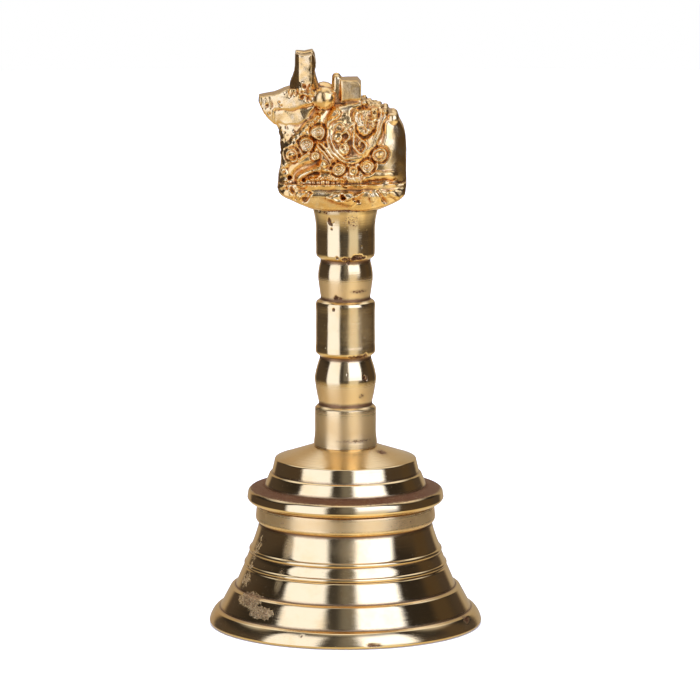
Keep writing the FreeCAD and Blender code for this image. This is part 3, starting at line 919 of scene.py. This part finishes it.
def turned_finish(name, roughness, pore_scale):
    """Turned brass: cutter rings, clouded tone, brown corners, satin bands, open pores and crust."""
    material, nodes, shader, place = metal(name, roughness, 0.45)
    fine, broad = turned_marks(nodes, place)
    marks = {word: nodes.add("ShaderNodeAttribute", attribute_name=word).outputs["Fac"]
             for word in ("recess", "crust", "satin", "porous_and_shade")}
    clouds = nodes.noise(place, 0.13, 4.0, 0.6)
    grain = nodes.noise(place, 3.2, 3.0, 0.6)
    lumps = nodes.noise(place, 1.0, 5.0, 0.7)
    dirt = nodes.ramp(nodes.plus(marks["recess"], nodes.times(grain, 0.12)), 0.12, 0.30)
    crust = nodes.ramp(nodes.plus(marks["crust"], nodes.times(lumps, 0.9)), 0.90, 1.10)
    holes = nodes.noise(place, pore_scale)
    pitted = nodes.plus(nodes.times(marks["porous_and_shade"], 0.42), holes)
    pores = nodes.ramp(pitted, 0.74, 0.86)
    body = nodes.blend(nodes.ramp(clouds, 0.42, 0.74, 0.0, 0.5), BRASS, GOLDEN_BRASS)
    body = nodes.blend(nodes.times(marks["satin"], 0.5), body, GOLDEN_BRASS)
    body = nodes.blend(nodes.times(dirt, 0.85), body, PIT_BROWN)
    # Porous patches brown the metal; on the stem one band of them is painted shade where the base overhangs
    # the collar.
    soil_and_shade = nodes.times(marks["porous_and_shade"], nodes.ramp(lumps, 0.38, 0.58, 0.35, 0.9))
    body = nodes.blend(soil_and_shade, body, DULL_BROWN)
    body = nodes.blend(crust, body, nodes.blend(nodes.ramp(grain, 0.36, 0.60), PIT_BROWN, CRUST))
    nodes.join(nodes.blend(pores, body, PIT_BROWN), shader.inputs["Base Color"])
    mottle = nodes.plus(nodes.times(fine, 0.5), nodes.times(clouds, 0.5))
    rough = nodes.ramp(mottle, 0.35, 0.65, roughness - HAZE, roughness + HAZE)
    for share, amount in ((dirt, 0.3), (crust, 0.4), (pores, 0.4), (marks["satin"], 0.24)):
        rough = nodes.plus(rough, nodes.times(share, amount))
    nodes.join(rough, shader.inputs["Roughness"])
    nodes.join(nodes.ramp(marks["satin"], 0.0, 1.0, 1.0, 0.80), shader.inputs["Metallic"])
    rings = nodes.bump(fine, 0.000007)
    rings = nodes.bump(broad, 0.000014, rings)
    rings = nodes.bump(nodes.times(fine, marks["satin"]), 0.00002, rings)
    rings = nodes.bump(nodes.times(pores, -1.0), 0.00007, rings)
    crusted = nodes.bump(nodes.times(crust, lumps), 0.0005, rings)
    nodes.join(crusted, shader.inputs["Normal"])
    tangent = nodes.add("ShaderNodeTangent", direction_type="RADIAL", axis="Z")
    nodes.join(tangent.outputs[0], shader.inputs["Tangent"])
    shader.inputs["Anisotropic Rotation"].default_value = 0.25
    return material


def cast_brass():
    """Bull: cast brass, buffed bright on what stands out and brown where polish never reached."""
    material, nodes, shader, place = metal("cast_brass", 0.25)
    recess = nodes.add("ShaderNodeAttribute", attribute_name="recess").outputs["Fac"]
    clouds = nodes.noise(place, 0.35, 4.0, 0.6)
    grain = nodes.noise(place, 2.6, 4.0, 0.65)
    dirt = nodes.ramp(nodes.plus(recess, nodes.times(grain, 0.14)), 0.06, 0.44)
    body = nodes.blend(nodes.ramp(clouds, 0.35, 0.6), CAST_BRASS, GOLDEN_BRASS)
    body = nodes.blend(nodes.ramp(dirt, 0.05, 0.6), body, RED_BRASS)
    nodes.join(nodes.blend(nodes.ramp(dirt, 0.6, 1.0), body, TARNISH), shader.inputs["Base Color"])
    rough = nodes.ramp(grain, 0.3, 0.7, 0.14, 0.26)
    nodes.join(nodes.plus(rough, nodes.times(dirt, 0.20)), shader.inputs["Roughness"])
    coarse = nodes.bump(grain, 0.000025)
    nodes.join(nodes.bump(nodes.noise(place, 9.0), 0.000008, coarse), shader.inputs["Normal"])
    return material


def hardware(name, colour, dull, roughness):
    """Plain wire or turned hardware: lightly scratched and dulled in clouds."""
    material, nodes, shader, place = metal(name, roughness)
    clouds = nodes.noise(place, 0.4, 4.0, 0.6)
    grain = nodes.noise(place, 4.0, 3.0, 0.6)
    nodes.join(nodes.blend(nodes.ramp(clouds, 0.4, 0.7, 0.0, 0.8), colour, dull), shader.inputs["Base Color"])
    nodes.join(nodes.ramp(grain, 0.3, 0.7, roughness - 0.08, roughness + 0.12), shader.inputs["Roughness"])
    nodes.join(nodes.bump(grain, 0.00002), shader.inputs["Normal"])
    return material


# ---- pieces

# Pits and chips left in the turned faces, each (angle round the axis, z, half width, half height, depth).
CUP_MARKS = [
    (-79.5, 0.9, 1.4, 0.45, 0.35),       # chip in the mouth edge
    (-77.0, 0.7, 1.5, 0.5, 0.3), (-109.0, 3.0, 0.3, 0.28, 0.3), (-24.0, 3.0, 0.9, 0.5, 0.5),
    (-21.5, 3.4, 0.7, 0.4, 0.5), (-31.0, 45.9, 0.5, 0.14, 0.25), (-36.0, 45.7, 0.4, 0.1, 0.25),
]
STEM_MARKS = [
    (-122.0, 106.4, 0.5, 0.9, 0.8),      # blowhole in the collar
    (-119.0, 105.6, 0.5, 0.45, 0.6), (-143.0, 109.0, 0.5, 0.4, 0.4),
    (-118.0, 104.3, 0.3, 0.25, 0.3), (-107.0, 96.8, 0.45, 0.4, 0.5),
    (-92.0, 96.5, 0.8, 0.5, 0.5), (-84.0, 95.7, 0.5, 0.5, 0.5), (-70.0, 96.9, 1.0, 0.8, 0.6),
    (-62.0, 97.0, 1.2, 0.7, 0.6), (-50.0, 96.7, 0.8, 0.4, 0.5), (-112.0, 86.2, 0.55, 0.7, 0.7),
    (-101.0, 85.9, 0.4, 0.4, 0.4), (-113.5, 83.4, 0.36, 0.4, 0.5), (-60.0, 70.8, 0.9, 0.4, 0.4),
    (-47.0, 71.2, 0.6, 0.5, 0.4), (-52.0, 65.4, 0.5, 0.55, 0.45), (-48.0, 64.8, 0.4, 0.3, 0.4),
]
# Soft patches, each (angle or None, z, half width, half height, amount).
CUP_SATIN = [
    (None, 29.4, 0, 2.0, 1.0),           # neck band
    (None, 35.9, 0, 0.6, 0.4),           # ledge
    (None, 45.2, 0, 1.6, 0.4),           # cone
    (-129.0, 23.0, 1.6, 3.6, 0.8),       # hazy smears on the left
    (-130.0, 14.5, 1.3, 3.0, 0.6), (-90.0, 23.5, 4.0, 2.8, 0.35),
    (None, 1.8, 0, 1.6, 0.15),           # mouth roll
]
CUP_POROUS = [
    (None, 35.8, 0, 0.55, 1.0), (None, 31.8, 0, 0.5, 0.45), (None, 27.0, 0, 0.5, 0.30),
    (-50.0, 29.0, 5.0, 1.8, 0.4), (-31.0, 45.8, 1.8, 0.5, 0.8), (-24.0, 3.2, 2.2, 0.9, 0.8),
    (-78.0, 0.8, 2.2, 0.5, 0.7),
]
CUP_CRUST = [
    (-146.0, 9.0, 6.5, 2.4, 0.62), (-134.5, 6.8, 6.0, 2.2, 0.60),
    (-160.0, 13.0, 4.0, 3.0, 0.50), (-160.0, 20.0, 3.0, 7.0, 0.46),
    (-155.0, 30.5, 3.0, 3.0, 0.45), (-134.5, 29.3, 1.3, 0.7, 0.60),
]
STEM_SATIN = [
    (None, 51.6, 0, 5.4, 0.9), (None, 60.6, 0, 2.8, 1.0), (None, 88.2, 0, 2.8, 1.0),
    (-60.0, 77.5, 5.0, 7.0, 0.4),
]
# Porous patches of the stem; the band at the top is painted shade under the base's lip as well as dirt.
STEM_POROUS_AND_SHADE = [
    (-78.0, 106.4, 2.6, 2.2, 0.5),       # rough skin on the collar
    (-126.0, 108.6, 1.2, 0.6, 0.7),
    (None, 109.6, 0, 0.7, 1.0),          # dirt in the joint, and painted shade where the collar meets the base's overhanging lip
    (-72.0, 96.6, 3.6, 0.6, 0.9), (-108.0, 86.2, 1.6, 0.6, 0.7), (-62.0, 70.9, 3.6, 0.6, 0.8),
    (-50.0, 65.2, 1.0, 0.9, 0.7), (-56.0, 60.6, 0.9, 0.7, 0.6),
    (-58.0, 87.9, 2.6, 0.6, 0.7),        # dulled metal round the rows of nicks
    (-60.0, 87.9, 2.3, 0.6, 0.4), (-68.0, 48.9, 4.6, 0.6, 0.6), (-72.0, 48.9, 4.6, 0.6, 0.4),
]


def chatter(first, last, z, count):
    """Row of short upright nicks along part of a band."""
    nicks = []
    for i in range(count):
        angle = first + (last - first) * (i + RANDOM.uniform(-0.2, 0.2)) / count
        middle = z + RANDOM.uniform(-0.12, 0.12)
        across = RANDOM.uniform(0.20, 0.26)
        up = RANDOM.uniform(0.35, 0.55)
        nicks.append((angle, middle, across, up, RANDOM.uniform(0.02, 0.05)))
    return nicks


def scattered_pits(count, low_z, high_z, size):
    """Small pits strewn all round a stretch of the turned surface."""
    pits = []
    for _ in range(count):
        angle = RANDOM.uniform(0, 360)
        z = RANDOM.uniform(low_z, high_z)
        across = size * RANDOM.uniform(0.6, 1.4)
        up = size * RANDOM.uniform(0.5, 1.1)
        pits.append((angle, z, across, up, size * RANDOM.uniform(0.4, 0.9)))
    return pits


def turned_piece(name, outline, segments, step, marks, patches, unevenness):
    """Lathed mesh with its pits and its satin, porous and crusted patches; on the stem the porous ones also
    paint the shade under the base.
    """
    mesh = lathe(name, outline, segments, step)
    wear(mesh, marks, unevenness)
    for word, places in zip(("satin", "porous_and_shade", "crust"), patches):
        zones(mesh, word, places)
    return mesh


cup_marks = CUP_MARKS + scattered_pits(30, low_z=1.0, high_z=44.0, size=0.25)
cup_mesh = turned_piece("bell_cup_turned", CUP_OUTSIDE + CUP_INSIDE, 360, 0.8, cup_marks,
                        (CUP_SATIN, CUP_POROUS, CUP_CRUST), unevenness=0.0)
cup_brass = turned_finish("turned_brass", roughness=0.10, pore_scale=4.5)
new_piece("bell_cup_turned", cup_mesh, cup_brass, "turned_brass", "bell_cup")

stem_marks = STEM_MARKS + chatter(-80.0, -42.0, 87.9, 8) + chatter(-112.0, -34.0, 48.9, 17)
stem_marks += scattered_pits(30, low_z=50.0, high_z=107.0, size=0.2)
stem_mesh = turned_piece("handle_stem_turned", STEM_OUTSIDE, 300, 0.32, stem_marks,
                         (STEM_SATIN, STEM_POROUS_AND_SHADE, []), unevenness=0.03)
stem_brass = turned_finish("stem_brass", roughness=0.14, pore_scale=2.6)
new_piece("handle_stem_turned", stem_mesh, stem_brass, "cast_brass", "nandi_handle")

figure = thinned(figure_mesh())
cast_skin(figure)
new_piece("nandi_figure_cast", figure, cast_brass(), "cast_brass", "nandi_handle")

steel = hardware("zinc_steel", STEEL, DULL_STEEL, 0.32)
wire_brass = hardware("wire_brass", BRASS, RED_BRASS, 0.28)
HARDWARE = [
    ("crown_washer", steel),
    ("clamp_nut", steel),
    ("eye_bolt", steel),
    ("link_ring", wire_brass),
    ("clapper_rod", wire_brass),
    ("clapper_ball", wire_brass),
]
for node_name, finish in HARDWARE:
    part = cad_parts[node_name]
    part.data.materials.clear()
    part.data.materials.append(finish)


# ---- studio

def card(nodes, azimuth, elevation, span, soft):
    """Share of a softbox seen in a direction: span is (left, right, bottom, top) in degrees."""
    left, right, bottom, top = span
    side, rise = soft
    share = nodes.times(nodes.ramp(azimuth, left - side, left + side),
                        nodes.ramp(azimuth, right - side, right + side, 1.0, 0.0))
    share = nodes.times(share, nodes.ramp(elevation, bottom - rise, bottom + rise))
    return nodes.times(share, nodes.ramp(elevation, top - rise, top + rise, 1.0, 0.0))


def studio_world():
    """White backdrop for the camera. The brass sees softboxes and pale cards in a dim room.

    Azimuth is 0 towards the camera and 90 to its right, elevation is 0 at the horizon, in degrees.
    """
    world = bpy.data.worlds.new("studio")
    bpy.context.scene.world = world
    world.use_nodes = True
    nodes = Nodes(world.node_tree)
    direction = nodes.add("ShaderNodeTexCoord").outputs["Generated"]
    parts = nodes.feed(nodes.add("ShaderNodeSeparateXYZ"), {0: direction})
    toward = nodes.times(parts.outputs["Y"], -1.0)
    to_degrees = 180 / math.pi
    azimuth = nodes.times(nodes.math("ARCTAN2", parts.outputs["X"], toward), to_degrees)
    elevation = nodes.times(nodes.math("ARCSINE", parts.outputs["Z"]), to_degrees)
    aside = nodes.math("ABSOLUTE", azimuth)
    back = nodes.blend(nodes.ramp(azimuth, -90, 90), (0.44, 0.36, 0.27), (0.44, 0.38, 0.30))
    side = nodes.blend(nodes.ramp(elevation, 8, 25), (0.075, 0.062, 0.060), (0.030, 0.027, 0.029))
    strip = card(nodes, azimuth, elevation, (100, 124, -90, 90), (6, 8))
    side = nodes.blend(strip, side, (0.085, 0.065, 0.050))
    colour = nodes.blend(nodes.ramp(aside, 142, 152), side, back)
    colour = nodes.blend(nodes.ramp(aside, 30, 60, 1.0, 0.0), colour, (0.055, 0.055, 0.068))
    above_back = nodes.times(nodes.ramp(elevation, 30, 48), nodes.ramp(aside, 80, 130))
    above = nodes.math("MAXIMUM", above_back, nodes.ramp(elevation, 60, 80))
    colour = nodes.blend(above, colour, (1.10, 1.18, 1.50))
    colour = nodes.blend(nodes.ramp(elevation, -34, -8, 1.0, 0.0), colour, (0.74, 0.65, 0.50))
    # Each softbox is its span, the softness of its sides and ends, and its light.
    boxes = [
        ((-6, 30, -2, 60), (6, 8), (0.20, 0.21, 0.26)),
        ((-73, -23, -24, 54), (3.0, 8), (1.22, 1.42, 2.25)),
        ((13, 64, 2, 58), (3.5, 12), (1.7, 2.05, 3.5)),
        ((13, 50, -60, 4), (6, 8), (0.82, 0.84, 0.95)),
        ((6, 80, -75, -24), (10, 8), (1.10, 1.02, 0.82)),
    ]
    for span, soft, light in boxes:
        colour = nodes.blend(card(nodes, azimuth, elevation, span, soft), colour, light)
    path = nodes.add("ShaderNodeLightPath")
    colour = nodes.blend(path.outputs["Is Camera Ray"], colour, (1.0, 1.0, 1.0))
    background = nodes.add("ShaderNodeBackground")
    nodes.join(colour, background.inputs["Color"])
    output = nodes.add("ShaderNodeOutputWorld")
    nodes.join(background.outputs[0], output.inputs["Surface"])


def pale_floor():
    """Round white table under the bell; it isn't mirrored in the brass."""
    mesh = bpy.data.meshes.new("floor")
    shape = bmesh.new()
    bmesh.ops.create_circle(shape, cap_ends=True, segments=96, radius=1.2)
    shape.to_mesh(mesh)
    shape.free()
    floor = new_object("floor", mesh)
    floor.location.z = cad_low[2] - FLOOR_GAP
    floor.visible_glossy = False
    material = bpy.data.materials.new("white_table")
    material.use_nodes = True
    shader = material.node_tree.nodes["Principled BSDF"]
    shader.inputs["Base Color"].default_value = (0.9, 0.9, 0.9, 1)
    shader.inputs["Roughness"].default_value = 0.9
    shader.inputs["Specular IOR Level"].default_value = 0.0
    mesh.materials.append(material)


def overhead_light():
    """Broad soft light from above that whitens the table and leaves no image in the metal."""
    light = bpy.data.lights.new("overhead", "AREA")
    light.shape = "DISK"
    light.size = 1.6
    light.energy = 34.0
    lamp = new_object("overhead", light)
    lamp.location = (0.0, 0.2, 1.6)
    lamp.visible_glossy = False
    lamp.visible_camera = False


def camera():
    """Long lens, a little above the bell and looking slightly down."""
    data = bpy.data.cameras.new("camera")
    data.lens = 308.6
    data.sensor_width = 36.0
    eye = new_object("camera", data)
    eye.location = (0.00117, -1.535, 0.331)
    eye.rotation_euler = (math.radians(80.41), 0.0, 0.0)
    bpy.context.scene.camera = eye


studio_world()
pale_floor()
overhead_light()
camera()
bpy.context.scene.view_settings.view_transform = "Standard"
